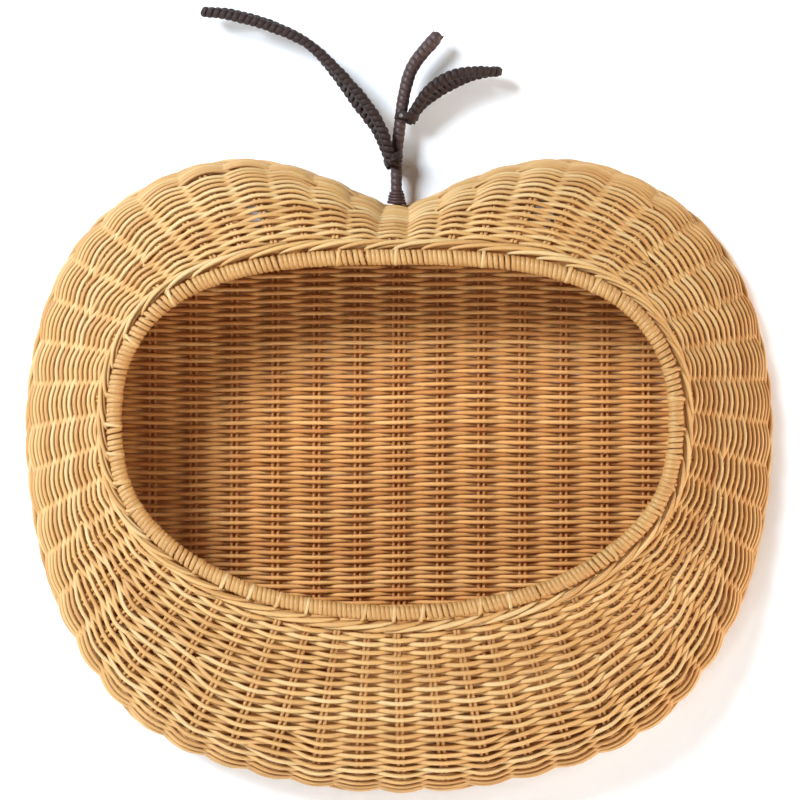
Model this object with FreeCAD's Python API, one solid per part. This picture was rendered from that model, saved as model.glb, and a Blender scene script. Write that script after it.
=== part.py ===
import FreeCAD, Part
import math
import os

# Apple-shaped wicker basket that hangs flat on a wall, with a wrapped stem and two wrapped leaves.
# Millimetres. The wall is the plane y = 0 and the basket stands out from it towards -Y.
# X is to the right for somebody facing the wall, Z is up, and the origin is on the wall
# at the middle of the back panel.

Vector = FreeCAD.Vector

# ---------------------------------------------------------------- driving dimensions
WEAVER = 3.3                     # diameter of the round cane used for weaving
STAKE = 2.8                      # diameter of one stake
STAKE_SPACING = 4.4              # centre distance of the two stakes of a pair
WEAVE = STAKE + 2 * WEAVER       # thickness of the woven cloth
STAKE_ROOM = STAKE + 0.6         # free space between the outer and inner cane layers
MOUTH_DEPTH = 104.0              # wall to the centre of the rim hoop
MOUTH_HALF_WIDTH = 218.0         # to the centre of the rim hoop
MOUTH_HALF_HEIGHT = 138.0
MOUTH_X = -3.0                   # the mouth sits a little left of the middle
MOUTH_Z = 34.7
MOUTH_TOP_POWER = 2.8            # a higher power gives a squarer oval
MOUTH_BOTTOM_POWER = 2.1
HOOP_RADIUS = 3.0
WRAP_RADIUS = 6.3                # outside of the wrapping on the rim hoop
BORDER_RADIUS = 4.5              # plaited border between the wall and the rim wrapping
BACK_BORDER_RADIUS = 4.4
CLEAR = 0.3                      # free gap between neighbouring pieces
WALL_PAIRS = 52                  # stake pairs round the wall
PINCH = 0.68                     # how strongly the stake pairs crowd together in the dimple
PINCH_REACH = 2.0                # how many pairs away from the stem that dies down
COLUMN_PITCH = 33.6              # stake pairs across the back panel
BACK_PAIRS_EACH_SIDE = 8
EYELET_COLUMN = 3.5              # eyelets sit midway between the 3rd and 4th stake pairs
EYELET_Z = 214.0
EYELET_HOLE = 8.0
EYELET_RADIUS = 11.6
EYELET_LENGTH = 8.4
STEM_RADIUS = 4.5
STEM_CORE_RADIUS = 2.0
PEG_LENGTH = 13.0                # the stem's core goes this far down through the woven wall
COLLAR_RADIUS = 8.4
COLLAR_HEIGHT = 9.5
COLLAR_LIP = 1.4                 # how far the collar stands out from the stem at its top
STEM_DEPTH = 18.0                # wall to the middle of the stem
LEAF_WIRE_RADIUS = 1.3
LEAF_EDGE_RADIUS = 4.4           # outside of the wrapping on a leaf's wire
LEAF_WEB = 2.4                   # thickness of the wrapping between the two leaf edges
WEB_START = 0.12                 # the web fills a leaf between these shares of its length
WEB_END = 0.84
WEB_SECTIONS = 7
LASHING_HEIGHT = 8.0
PIN_RADIUS = 0.8
PIN_HEAD_RADIUS = 1.5
PIN_HEAD_THICKNESS = 0.8
PIN_LENGTH = 7.0
TOUCH = 0.05                     # gap between a core and the wrapping on it
STAKE_GAP = 0.1                  # gap round a back stake or an eyelet in the back panel
LONG = 600.0                     # longer than any back stake

# ---------------------------------------------------------------- how finely curves are followed
FINE = 40                        # samples between two stations, to measure lengths
MOUTH_SAMPLES = 720
FOOT_SAMPLES = 200
SPLINE_ROUNDS = 40               # rounds that settle the poles of a closed spline
SECTION_SIDES = 8                # points that shape a round section
STAKE_SPANS = 2                  # pairs of arcs that follow one wall stake
STEM_SPANS = 5
LEAF_SPANS = 14
STRAIGHT = 1e-4                  # directions that differ by less than this are the same

# Right half of the apple outline, clockwise from the dimple under the stem to the bottom:
# x and z on the wall, angle at which the wall of the basket rises from the back border
# (90 is square to the wall, more is a belly), slope of the weave where it meets the mouth,
# and how long the curve keeps to those two directions, as a share of the span.
HALF_OUTLINE = [
    (0, 221, 88, 56, 0.34, 0.30),
    (52, 241, 86, 34, 0.38, 0.36),
    (130, 259, 82, 14, 0.44, 0.42),
    (209, 236, 78, 30, 0.40, 0.40),
    (268, 183, 72, 46, 0.36, 0.36),
    (298, 107, 68, 52, 0.34, 0.34),
    (305, 28, 68, 54, 0.34, 0.34),
    (296, -50, 72, 48, 0.34, 0.36),
    (271, -122, 88, 36, 0.38, 0.42),
    (218, -185, 106, 22, 0.44, 0.46),
    (134, -226, 112, 12, 0.46, 0.50),
    (0, -243, 116, 8, 0.48, 0.52),
]


# ---------------------------------------------------------------- closed smooth curves
def mirrored(half):
    """The whole outline from its right half, whose first and last points are on the middle."""
    left = [(-row[0],) + tuple(row[1:]) for row in reversed(half[1:-1])]
    return [tuple(row) for row in half] + left


def closed_poles(points):
    """Poles of the closed uniform cubic spline that passes through the points."""
    poles = list(points)
    count = len(points)
    for _ in range(SPLINE_ROUNDS):
        for i in range(count):
            around = poles[i - 1] + poles[(i + 1) % count]
            poles[i] = (points[i] * 6 - around) * 0.25
    return poles


def on_closed(poles, place):
    """Point of the closed spline; place runs from 0 to the number of poles."""
    count = len(poles)
    first = math.floor(place)
    f = place - first
    weights = (
        (1 - f) ** 3 / 6,
        (3 * f ** 3 - 6 * f ** 2 + 4) / 6,
        (-3 * f ** 3 + 3 * f ** 2 + 3 * f + 1) / 6,
        f ** 3 / 6,
    )
    point = Vector(0, 0, 0)
    for k, weight in enumerate(weights):
        point += poles[(first - 1 + k) % count] * weight
    return point


def running_lengths(points):
    """Distance along a line of points, from 0 at the first to the whole at the last."""
    lengths = [0.0]
    for a, b in zip(points, points[1:]):
        lengths.append(lengths[-1] + a.distanceToPoint(b))
    return lengths


def place_at(lengths, wanted):
    """Where along the line of points the wanted length falls, as a fractional index."""
    for i in range(1, len(lengths)):
        if lengths[i] >= wanted:
            step = lengths[i] - lengths[i - 1]
            return i - 1 + (wanted - lengths[i - 1]) / step
    return len(lengths) - 1


def outward_normals(points):
    """Unit vectors in the X-Z plane that point out of a clockwise closed line of points."""
    normals = []
    count = len(points)
    for i in range(count):
        along = points[(i + 1) % count] - points[i - 1]
        normals.append(Vector(-along.z, 0, along.x).normalize())
    return normals


# ---------------------------------------------------------------- the basket's guide curves
def mouth_point(angle):
    """Point of the mouth's oval, at an angle from the top, clockwise."""
    s = math.sin(angle)
    c = math.cos(angle)
    power = MOUTH_TOP_POWER if c > 0 else MOUTH_BOTTOM_POWER
    reach = (abs(s) ** power + abs(c) ** power) ** (-1 / power)
    x = MOUTH_X + MOUTH_HALF_WIDTH * s * reach
    z = MOUTH_Z + MOUTH_HALF_HEIGHT * c * reach
    return Vector(x, -MOUTH_DEPTH, z)


STATIONS = mirrored(HALF_OUTLINE)
OUTLINE = [Vector(row[0], 0, row[1]) for row in STATIONS]
OUT = outward_normals(OUTLINE)


def mouth_stations():
    """The mouth's points that share their length round the oval with the outline's stations."""
    poles = closed_poles(OUTLINE)
    count = len(OUTLINE)
    outline = [on_closed(poles, i / FINE) for i in range(count * FINE + 1)]
    outline_lengths = running_lengths(outline)
    step = 2 * math.pi / MOUTH_SAMPLES
    oval = [mouth_point(i * step) for i in range(MOUTH_SAMPLES + 1)]
    oval_lengths = running_lengths(oval)
    points = []
    for i in range(count):
        share = outline_lengths[i * FINE] / outline_lengths[-1]
        place = place_at(oval_lengths, share * oval_lengths[-1])
        points.append(mouth_point(place * step))
    return points


MOUTH = mouth_stations()
MOUTH_OUT = outward_normals(MOUTH)


def leaning(out, degrees):
    """Direction that rises from the wall at an angle: 90 is square to it, less leans inwards."""
    angle = math.radians(degrees)
    return out * -math.cos(angle) + Vector(0, -math.sin(angle), 0)


def wall_guides():
    """Four closed rows of points that steer the middle of the woven wall, from back to mouth.

    Also gives the directions in which the wall leaves the back and arrives at the mouth.
    """
    rows = [[], [], [], []]
    legs = []
    for i, row in enumerate(STATIONS):
        rise, slope, back_hold, mouth_hold = row[2:]
        spread = OUTLINE[i] - MOUTH[i]
        out = Vector(spread.x, 0, spread.z).normalize()
        leave = leaning(out, rise)
        arrive = leaning(out, slope)
        back = back_border_centres()[i] + leave * (BACK_BORDER_RADIUS + CLEAR)
        mouth = border_centres()[i] - arrive * (BORDER_RADIUS + CLEAR)
        span = back.distanceToPoint(mouth)
        rows[0].append(back)
        rows[1].append(back + leave * span * back_hold)
        rows[2].append(mouth - arrive * span * mouth_hold)
        rows[3].append(mouth)
        legs.append((leave, arrive))
    return rows, legs


def back_border_centres():
    """Middle of the border that closes the basket against the wall."""
    depth = Vector(0, -BACK_BORDER_RADIUS - CLEAR, 0)
    return [p - n * BACK_BORDER_RADIUS + depth for p, n in zip(OUTLINE, OUT)]


def border_centres():
    """Middle of the plaited border that lies round the rim wrapping."""
    reach = WRAP_RADIUS + BORDER_RADIUS + CLEAR
    centres = []
    for i, row in enumerate(STATIONS):
        lean = math.radians(row[3] / 2)
        centres.append(MOUTH[i] + MOUTH_OUT[i] * reach * math.cos(lean)
                       + Vector(0, reach * math.sin(lean), 0))
    return centres


GUIDES, LEGS = wall_guides()
GUIDE_POLES = [closed_poles(row) for row in GUIDES]


def mitre(a, b):
    """Step of a corner between two legs that moves both of them out by one."""
    both = a + b
    return both * (2 / both.Length ** 2)


def offset_guides(distance):
    """The guide rows moved out of the weave's middle surface by a distance.

    The first row then slides along the wall until it is level with the back panel's front.
    """
    moved = [[], [], [], []]
    for i in range(len(STATIONS)):
        points = [row[i] for row in GUIDES]
        sideways = MOUTH_OUT[i].cross(Vector(0, 1, 0))
        legs = [(b - a).normalize() for a, b in zip(points, points[1:])]
        turns = [leg.cross(sideways).normalize() for leg in legs]
        if turns[0].dot(OUT[i]) < 0:
            turns = [turn * -1 for turn in turns]
        steps = [turns[0], mitre(turns[0], turns[1]), mitre(turns[1], turns[2]), turns[2]]
        for row, point, step in zip(moved, points, steps):
            row.append(point + step * distance)
        leave = LEGS[i][0]
        slide = (moved[0][i].y + WEAVE + CLEAR) / -leave.y
        moved[0][i] = moved[0][i] + leave * slide
    return moved


# ---------------------------------------------------------------- surfaces and solids
def closed_knots(count):
    return list(range(count + 1)), [1] * (count + 1)


def skin(rows):
    """Surface round the basket from closed rows of points: 4 rows curve, 2 rows are ruled."""
    poles = [closed_poles(row) for row in rows]
    net = [[row[i] for row in poles] for i in range(len(rows[0]))]
    knots, mults = closed_knots(len(net))
    degree = len(rows) - 1
    surface = Part.BSplineSurface()
    surface.buildFromPolesMultsKnots(
        net, mults, [degree + 1] * 2, knots, [0, 1], True, False, 3, degree)
    return surface.toShape()


def solid_of(faces):
    """One closed solid from faces that meet edge to edge."""
    shell = Part.Shell(faces)
    if len(faces) > 1:
        shell.sewShape()
    solid = Part.Solid(shell)
    if solid.Volume < 0:
        solid.reverse()
    return solid


def woven_layer(inner_offset, outer_offset):
    """One layer of cane round the wall, between two distances from the weave's middle."""
    inner = offset_guides(inner_offset)
    outer = offset_guides(outer_offset)
    faces = [
        skin(outer),
        skin(inner),
        skin([outer[0], inner[0]]),
        skin([outer[3], inner[3]]),
    ]
    return solid_of(faces)


def ring(centres, normals, radius):
    """Closed rod of round section that follows a closed line of points."""
    out = Vector(0, 1, 0)
    columns = [section_poles(centre, normal, out.cross(normal), radius)
               for centre, normal in zip(centres, normals)]
    rows = [closed_poles([column[j] for column in columns]) for j in range(SECTION_SIDES)]
    net = [[row[i] for row in rows] for i in range(len(centres))]
    knots, mults = closed_knots(len(net))
    round_knots, round_mults = closed_knots(SECTION_SIDES)
    surface = Part.BSplineSurface()
    surface.buildFromPolesMultsKnots(
        net, mults, round_mults, knots, round_knots, True, True, 3, 3)
    return solid_of([surface.toShape()])


def section_poles(centre, normal, along, radius):
    """Poles of a round section: a closed cubic spline through eight points of the circle."""
    across = along.cross(normal)
    points = []
    for j in range(SECTION_SIDES):
        angle = 2 * math.pi * j / SECTION_SIDES
        points.append(centre + (normal * math.cos(angle) + across * math.sin(angle)) * radius)
    return closed_poles(points)


def arc_from(start, along, end):
    """Arc that leaves a point in a direction and reaches another point, or a straight line."""
    chord = (end - start).normalize()
    lift = along - chord * along.dot(chord)
    if lift.Length < STRAIGHT:
        return Part.LineSegment(start, end).toShape()
    turn = math.acos(min(1.0, along.dot(chord)))
    rise = start.distanceToPoint(end) / 2 * math.tan(turn / 2)
    middle = (start + end) * 0.5 + lift.normalize() * rise
    return Part.Arc(start, middle, end).toShape()


def tangent_arcs(path, spans):
    """Wire of tangent arcs along a curve: two arcs in each span meet the curve at both ends."""
    first = path.FirstParameter
    step = (path.LastParameter - first) / spans
    edges = []
    for i in range(spans):
        start, end = (path.value(first + (i + k) * step) for k in (0, 1))
        leave, arrive = (path.tangent(first + (i + k) * step)[0] for k in (0, 1))
        chord = end - start
        both = chord.dot(leave + arrive)
        bend = 2 * (1 - leave.dot(arrive))
        reach = chord.Length / 4
        if bend > STRAIGHT ** 2:
            reach = (math.sqrt(both ** 2 + bend * chord.dot(chord)) - both) / bend
        near = start + leave * reach
        far = end - arrive * reach
        meet = (near + far) * 0.5
        edges.append(arc_from(start, leave, meet))
        edges.append(arc_from(meet, (far - near).normalize(), end))
    return Part.Wire(edges)


def rod(path, radius, spans):
    """Round rod along a curve, followed by tangent arcs."""
    start = path.value(path.FirstParameter)
    along = path.tangent(path.FirstParameter)[0]
    profile = Part.Wire([Part.Circle(start, along, radius).toShape()])
    return tangent_arcs(path, spans).makePipeShell([profile], True, False)


def sleeve(path, outer, inner, spans):
    """Hollow rod along a curve."""
    return rod(path, outer, spans).cut(rod(path, inner, spans))


def curve_through(points):
    path = Part.BSplineCurve()
    path.interpolate(points)
    return path


# ---------------------------------------------------------------- back of the basket
def panel_outline():
    inset = 2 * BACK_BORDER_RADIUS + CLEAR
    return [p - n * inset for p, n in zip(OUTLINE, OUT)]


def panel_face():
    poles = closed_poles(panel_outline())
    knots, mults = closed_knots(len(poles))
    edge = Part.BSplineCurve()
    edge.buildFromPolesMultsKnots(poles, mults, knots, True, 3)
    return Part.Face(Part.Wire([edge.toShape()]))


def column_offsets(column):
    """Where the stakes of one column stand beside its middle; the middle column has three."""
    if column == 0:
        return (-STAKE_SPACING, 0, STAKE_SPACING)
    return (-STAKE_SPACING / 2, STAKE_SPACING / 2)


def uprights(radius):
    """Long upright rods at the places of the back stakes."""
    rods = []
    for column in range(-BACK_PAIRS_EACH_SIDE, BACK_PAIRS_EACH_SIDE + 1):
        for offset in column_offsets(column):
            foot = Vector(column * COLUMN_PITCH + offset, -WEAVE / 2, -LONG / 2)
            rods.append(Part.makeCylinder(radius, LONG, foot, Vector(0, 0, 1)))
    return rods


def back_stakes(radius):
    """Upright stakes in the middle of the back panel, as long as the panel is high there."""
    slab = panel_face().extrude(Vector(0, -WEAVE, 0))
    return [upright.common(slab) for upright in uprights(radius)]


def eyelet_centres():
    x = EYELET_COLUMN * COLUMN_PITCH
    return {"left": Vector(-x, 0, EYELET_Z), "right": Vector(x, 0, EYELET_Z)}


def back_panel_weave():
    """The back's cane, as a plate with channels for the stakes and holes for the eyelets."""
    panel = panel_face().extrude(Vector(0, -WEAVE, 0))
    cuts = uprights(STAKE / 2 + STAKE_GAP)
    away = Vector(0, -1, 0)
    for centre in eyelet_centres().values():
        cuts.append(Part.makeCylinder(EYELET_RADIUS + STAKE_GAP, WEAVE, centre, away))
    return panel.cut(cuts)


def hanging_eyelet(centre):
    """Ring set in the back panel; the basket hangs from a screw or hook through it."""
    back = centre + Vector(0, -(WEAVE - EYELET_LENGTH) / 2, 0)
    away = Vector(0, -1, 0)
    body = Part.makeCylinder(EYELET_RADIUS, EYELET_LENGTH, back, away)
    return body.cut(Part.makeCylinder(EYELET_HOLE, EYELET_LENGTH, back, away))


# ---------------------------------------------------------------- wall of the basket
def crowding(pair):
    """How far a stake pair moves towards the stem at the back, in pair spacings."""
    away = pair if pair <= WALL_PAIRS / 2 else pair - WALL_PAIRS
    return -PINCH * away * math.exp(-abs(away) / PINCH_REACH)


def stake_places():
    """For each stake, its places on the four guide rows; the first pair is at the stem.

    The pairs are evenly spaced at the mouth and crowd together in the dimple at the back.
    The stem's peg goes down between the stakes of the first pair, which stand further apart.
    """
    count = len(OUTLINE)
    line = [on_closed(GUIDE_POLES[0], i / FINE) for i in range(count * FINE + 1)]
    lengths = running_lengths(line)
    spacing = lengths[-1] / WALL_PAIRS
    last_row = len(GUIDE_POLES) - 1
    places = []
    for k in range(WALL_PAIRS):
        spread = STAKE_SPACING if k else 2 * STAKE_SPACING
        for side in (-0.5, 0.5):
            beside = STEM_LINE[0][0] + side * spread
            pairs = [k + crowding(k) * (1 - row / last_row) for row in range(last_row + 1)]
            wanted = [(pair * spacing + beside) % lengths[-1] for pair in pairs]
            places.append([place_at(lengths, length) / FINE for length in wanted])
    return places


def wall_stake(places):
    """One stake, from the back border to the plaited border, in the middle of the weave."""
    path = Part.BezierCurve()
    path.setPoles([on_closed(poles, place) for poles, place in zip(GUIDE_POLES, places)])
    return rod(path, STAKE / 2, STAKE_SPANS)


def wall_stakes():
    """The stakes as four groups: top, right, bottom and left."""
    groups = {"top": [], "right": [], "bottom": [], "left": []}
    names = ("top", "right", "bottom", "left")
    count = len(OUTLINE)
    for places in stake_places():
        quarter = int(4 * places[-1] / count + 0.5) % 4
        groups[names[quarter]].append(wall_stake(places))
    return groups


# ---------------------------------------------------------------- stem and leaves
# The stem's middle line above its foot: x, distance from the wall and z.
STEM_LINE = [
    (-2.0, 18, 257),
    (0.5, 18.5, 283),
    (4.5, 19.5, 311),
    (12.0, 20, 333.5),
    (31.5, 20, 357.5),
]
# Each leaf is one wire bent into a loop: its front edge from the stem to the tip, the tip,
# and its back edge from the stem to the tip, as x, distance from the wall and z.
LEFT_LEAF = {
    "front": [(-6.4, 26.6, 253), (-14, 32, 281), (-34.5, 35, 310.5), (-71.5, 35, 347),
              (-108.5, 33, 364), (-140.5, 28.5, 373), (-153.5, 25, 375)],
    "tip": (-158, 20, 376.5),
    "back": [(-6.4, 9.4, 253), (-17, 7, 279.5), (-36, 6.5, 305.5), (-68, 6.5, 347.5),
             (-104, 7.5, 367.5), (-136.5, 11.5, 376), (-151.5, 15.5, 377)],
}
RIGHT_LEAF = {
    "front": [(10.9, 23.3, 291.5), (15.5, 27.5, 300.5), (24, 31.5, 311.5), (36, 34, 320.5),
              (48.5, 34, 325), (64, 31, 327), (75, 26, 327)],
    "tip": (80, 20, 328),
    "back": [(10.9, 14.3, 291.5), (18.3, 11, 302), (32.2, 9, 312.5), (46.2, 8.5, 320.5),
             (60.3, 9, 326), (73.3, 13, 328.5)],
}
# Lashings that tie the leaves to the stem: middle of the lower end, half sizes of their oval
# section and how many degrees they lean to the right.
LEFT_LASHING = ((-3.6, 18.0, 254.0), (8.4, 14.4), -16)
RIGHT_LASHING = ((5.4, 18.8, 288.0), (9.9, 10.8), 14)
PIN_AT = (1.5, 291.5)


def placed(rows):
    return [Vector(x, -depth, z) for x, depth, z in rows]


def stem_foot():
    """Point on the outside of the wall, in the dimple, where the stem stands."""
    poles = [closed_poles(row) for row in offset_guides(WEAVE / 2)]
    path = Part.BezierCurve()
    path.setPoles([on_closed(row, 0) for row in poles])
    line = [path.value(i / FOOT_SAMPLES) for i in range(FOOT_SAMPLES + 1)]
    nearest = min(line, key=lambda p: abs(p.y + STEM_DEPTH))
    return Vector(STEM_LINE[0][0], nearest.y, nearest.z + CLEAR)


def stem_path():
    """Middle line of the stem, from the end of its peg inside the basket to its tip."""
    foot = stem_foot()
    return curve_through([foot - Vector(0, 0, PEG_LENGTH), foot] + placed(STEM_LINE))


def stem_wrapping(wall):
    """The binding on the stem's core, which stops at the stem's foot on the wall."""
    foot = stem_foot()
    wide = 4 * STEM_RADIUS
    corner = foot - Vector(wide / 2, wide / 2, 2 * PEG_LENGTH)
    below = Part.makeBox(wide, wide, 2 * PEG_LENGTH, corner)
    whole = sleeve(stem_path(), STEM_RADIUS, STEM_CORE_RADIUS + TOUCH, STEM_SPANS)
    return whole.cut([below, wall])


def stem_collar(wall):
    """Flared binding round the stem's foot, shaped to the dimple that it stands in."""
    up = Vector(0, 0, 1)
    top = STEM_RADIUS + COLLAR_LIP
    cone = Part.makeCone(COLLAR_RADIUS, top, COLLAR_HEIGHT, stem_foot(), up)
    stem = rod(stem_path(), STEM_RADIUS + TOUCH, STEM_SPANS)
    return cone.cut([stem, wall])


def leaf_path(leaf):
    """Middle line of a leaf's wire: out along the front edge and home along the back one."""
    loop = leaf["front"] + [leaf["tip"]] + leaf["back"][::-1]
    return curve_through(placed(loop))


def leaf_web(leaf):
    """Thin wrapping between the two edges of a leaf, clear of both."""
    front = curve_through(placed(leaf["front"]))
    back = curve_through(placed(leaf["back"]))
    sections = []
    for i in range(WEB_SECTIONS):
        share = WEB_START + (WEB_END - WEB_START) * i / (WEB_SECTIONS - 1)
        a = front.value(share * front.LastParameter)
        b = back.value(share * back.LastParameter)
        across = (b - a).normalize()
        along = front.tangent(share * front.LastParameter)[0]
        up = across.cross(along).normalize() * (LEAF_WEB / 2)
        inset = across * (LEAF_EDGE_RADIUS + 2 * CLEAR)
        corners = [a + inset + up, b - inset + up, b - inset - up, a + inset - up]
        sections.append(Part.makePolygon(corners + corners[:1]))
    return Part.makeLoft(sections, True, False)


def lashing_frame(degrees):
    """The direction of a lashing's axis and of its section's width."""
    lean = math.radians(degrees)
    axis = Vector(math.sin(lean), 0, math.cos(lean))
    return axis, Vector(math.cos(lean), 0, -math.sin(lean))


def lashing(place, leaf):
    """Binding round the stem and the two ends of a leaf's wire."""
    (x, depth, z), (half_x, half_y), degrees = place
    axis, wide = lashing_frame(degrees)
    middle = Vector(x, -depth, z)
    deep = middle + Vector(0, -half_y, 0)
    oval = Part.Ellipse(deep, middle + wide * half_x, middle)
    band = Part.Face(Part.Wire([oval.toShape()])).extrude(axis * LASHING_HEIGHT)
    stem = rod(stem_path(), STEM_RADIUS + TOUCH, STEM_SPANS)
    edges = rod(leaf_path(leaf), LEAF_EDGE_RADIUS + TOUCH, LEAF_SPANS)
    return band.cut([stem, edges])


def leaf_pin():
    """Small nail through the front of the right leaf's lashing into the stem's wrapping."""
    (x, depth, z), (half_x, half_y), degrees = RIGHT_LASHING
    wide = lashing_frame(degrees)[1]
    beside = Vector(PIN_AT[0] - x, 0, PIN_AT[1] - z).dot(wide)
    front = depth + half_y * math.sqrt(1 - (beside / half_x) ** 2)
    face = Vector(PIN_AT[0], -front - CLEAR, PIN_AT[1])
    head = Part.makeCylinder(PIN_HEAD_RADIUS, PIN_HEAD_THICKNESS, face, Vector(0, -1, 0))
    shank = Part.makeCylinder(PIN_RADIUS, PIN_LENGTH, face, Vector(0, 1, 0))
    return head.fuse(shank)


# ---------------------------------------------------------------- all the pieces
def save(name, shapes):
    shape = shapes[0] if len(shapes) == 1 else Part.makeCompound(shapes)
    shape.exportStep("parts/" + name + ".step")
    print(name, len(shape.Solids), "solids, valid", shape.isValid(), "volume", round(shape.Volume))


def build():
    os.makedirs("parts", exist_ok=True)
    save("back_panel_weave", [back_panel_weave()])
    save("back_stakes", back_stakes(STAKE / 2))
    save("back_border", [ring(back_border_centres(), OUT, BACK_BORDER_RADIUS)])
    for side, centre in eyelet_centres().items():
        save("hanging_eyelet_" + side, [hanging_eyelet(centre)])
    peg = rod(stem_path(), STEM_CORE_RADIUS + TOUCH, STEM_SPANS)
    outer_layer = woven_layer(STAKE_ROOM / 2, WEAVE / 2)
    inner_layer = woven_layer(-WEAVE / 2, -STAKE_ROOM / 2)
    save("wall_weave", [outer_layer.cut(peg), inner_layer.cut(peg)])
    for group, stakes in wall_stakes().items():
        save("wall_stakes_" + group, stakes)
    save("rim_border", [ring(border_centres(), MOUTH_OUT, BORDER_RADIUS)])
    save("rim_core", [ring(MOUTH, MOUTH_OUT, HOOP_RADIUS)])
    wrapped = ring(MOUTH, MOUTH_OUT, WRAP_RADIUS)
    save("rim_wrapping", [wrapped.cut(ring(MOUTH, MOUTH_OUT, HOOP_RADIUS + TOUCH))])
    save("stem_core", [rod(stem_path(), STEM_CORE_RADIUS, STEM_SPANS)])
    pin = leaf_pin()
    save("stem_wrapping", [stem_wrapping(outer_layer).cut(pin)])
    save("stem_collar", [stem_collar(outer_layer)])
    save("leaf_pin", [pin])
    leaves = {"left": (LEFT_LEAF, LEFT_LASHING), "right": (RIGHT_LEAF, RIGHT_LASHING)}
    for side, (leaf, place) in leaves.items():
        path = leaf_path(leaf)
        save("leaf_" + side + "_wire", [rod(path, LEAF_WIRE_RADIUS, LEAF_SPANS)])
        wrapping = sleeve(path, LEAF_EDGE_RADIUS, LEAF_WIRE_RADIUS + TOUCH, LEAF_SPANS)
        save("leaf_" + side + "_wrapping", [wrapping])
        save("leaf_" + side + "_web", [leaf_web(leaf)])
        save("leaf_" + side + "_lashing", [lashing(place, leaf).cut(pin)])


build()
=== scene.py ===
import math

import bpy
import numpy as np
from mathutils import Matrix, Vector


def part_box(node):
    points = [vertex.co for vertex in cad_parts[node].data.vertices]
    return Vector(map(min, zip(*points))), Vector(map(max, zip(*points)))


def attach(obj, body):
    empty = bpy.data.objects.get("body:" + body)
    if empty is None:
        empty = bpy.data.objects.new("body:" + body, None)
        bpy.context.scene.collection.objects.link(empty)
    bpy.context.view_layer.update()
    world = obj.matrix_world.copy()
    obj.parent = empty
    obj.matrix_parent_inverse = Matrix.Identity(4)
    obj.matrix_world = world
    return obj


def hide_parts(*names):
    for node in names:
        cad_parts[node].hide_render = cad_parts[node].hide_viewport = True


# Apple-shaped wicker basket on a wall: cane woven round stakes, a wrapped rim, a dark stem and
# two dark leaves. Metres; the wall is the plane y = 0 and the basket stands out towards -Y.

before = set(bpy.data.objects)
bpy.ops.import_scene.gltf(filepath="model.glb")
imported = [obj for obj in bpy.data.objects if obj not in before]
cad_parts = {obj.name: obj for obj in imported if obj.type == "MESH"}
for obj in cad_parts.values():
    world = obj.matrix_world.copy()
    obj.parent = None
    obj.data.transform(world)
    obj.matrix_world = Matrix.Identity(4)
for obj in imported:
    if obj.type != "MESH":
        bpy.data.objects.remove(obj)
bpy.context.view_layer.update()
MM = 0.001
RANDOM = np.random.default_rng(7)


def spans(node):
    """Lowest corner, highest corner and size of a CAD node, as arrays."""
    low, high = (np.array(corner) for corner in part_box(node))
    return low, high, high - low


# ---------------------------------------------------------------- sizes from the frame
HOOP_LOW, HOOP_HIGH, HOOP_SIZE = spans("rim_core")
BACK_SIZE = spans("back_border")[2]
WEAVE = spans("back_panel_weave")[2][1]
STAKE = spans("back_stakes")[2][1]
WEAVER = (WEAVE - STAKE) / 2
WEAVER_RADIUS = WEAVER / 2 - 0.05 * MM
WEAVER_WIDE = 1.16               # the weavers are a little wider along the wall than they are thick
BACK_WIDE = 1.05                 # the same for the rows of the back panel
HOOP_RADIUS = HOOP_SIZE[1] / 2
WRAP_RADIUS = spans("rim_wrapping")[2][1] / 2
BACK_BORDER_RADIUS = BACK_SIZE[1] / 2
MOUTH_X = (HOOP_LOW[0] + HOOP_HIGH[0]) / 2
MOUTH_Z = (HOOP_LOW[2] + HOOP_HIGH[2]) / 2
MOUTH_DEPTH = -(HOOP_LOW[1] + HOOP_HIGH[1]) / 2
MOUTH_HALF_WIDTH = HOOP_SIZE[0] / 2 - HOOP_RADIUS
MOUTH_HALF_HEIGHT = HOOP_SIZE[2] / 2 - HOOP_RADIUS
MOUTH_TOP_POWER = 2.8
MOUTH_BOTTOM_POWER = 2.1
CLEAR = 0.3 * MM
BORDER_RADIUS = 4.5 * MM
WALL_PAIRS = 52
FIRST_PAIR_AT = -2 * MM          # the first stake pair stands under the stem, a little left
PINCH = 0.68                     # how strongly the stake pairs crowd together in the dimple
PINCH_REACH = 2.0                # how many pairs away from the stem that dies down
COLUMN_PITCH = 33.6 * MM
ROW_PITCH = 3.4 * MM             # rows of cane on the back panel
EYELETS = ("hanging_eyelet_left", "hanging_eyelet_right")
EYELET_HOLE = 8 * MM             # radius
EYELET_GRIP = 0.6 * MM           # how far the rows of cane reach under an eyelet
SHORTEST_ROW = 3 * MM

# Right half of the apple outline, clockwise from the dimple to the bottom: x, z, angle at which
# the wall rises from the back, slope at the mouth, and how long it keeps to each (shares).
HALF_OUTLINE = (
    (0, 221, 88, 56, 0.34, 0.30),
    (52, 241, 86, 34, 0.38, 0.36),
    (130, 259, 82, 14, 0.44, 0.42),
    (209, 236, 78, 30, 0.40, 0.40),
    (268, 183, 72, 46, 0.36, 0.36),
    (298, 107, 68, 52, 0.34, 0.34),
    (305, 28, 68, 54, 0.34, 0.34),
    (296, -50, 72, 48, 0.34, 0.36),
    (271, -122, 88, 36, 0.38, 0.42),
    (218, -185, 106, 22, 0.44, 0.46),
    (134, -226, 112, 12, 0.46, 0.50),
    (0, -243, 116, 8, 0.48, 0.52),
)


# ---------------------------------------------------------------- closed smooth curves
def unit(vectors):
    return vectors / np.linalg.norm(vectors, axis=-1, keepdims=True)


def closed_poles(points):
    """Poles of the closed uniform cubic spline through a ring of points."""
    count = len(points)
    weights = np.eye(count) * 4 + np.roll(np.eye(count), 1, 0) + np.roll(np.eye(count), -1, 0)
    return np.linalg.solve(weights / 6, points)


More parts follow.
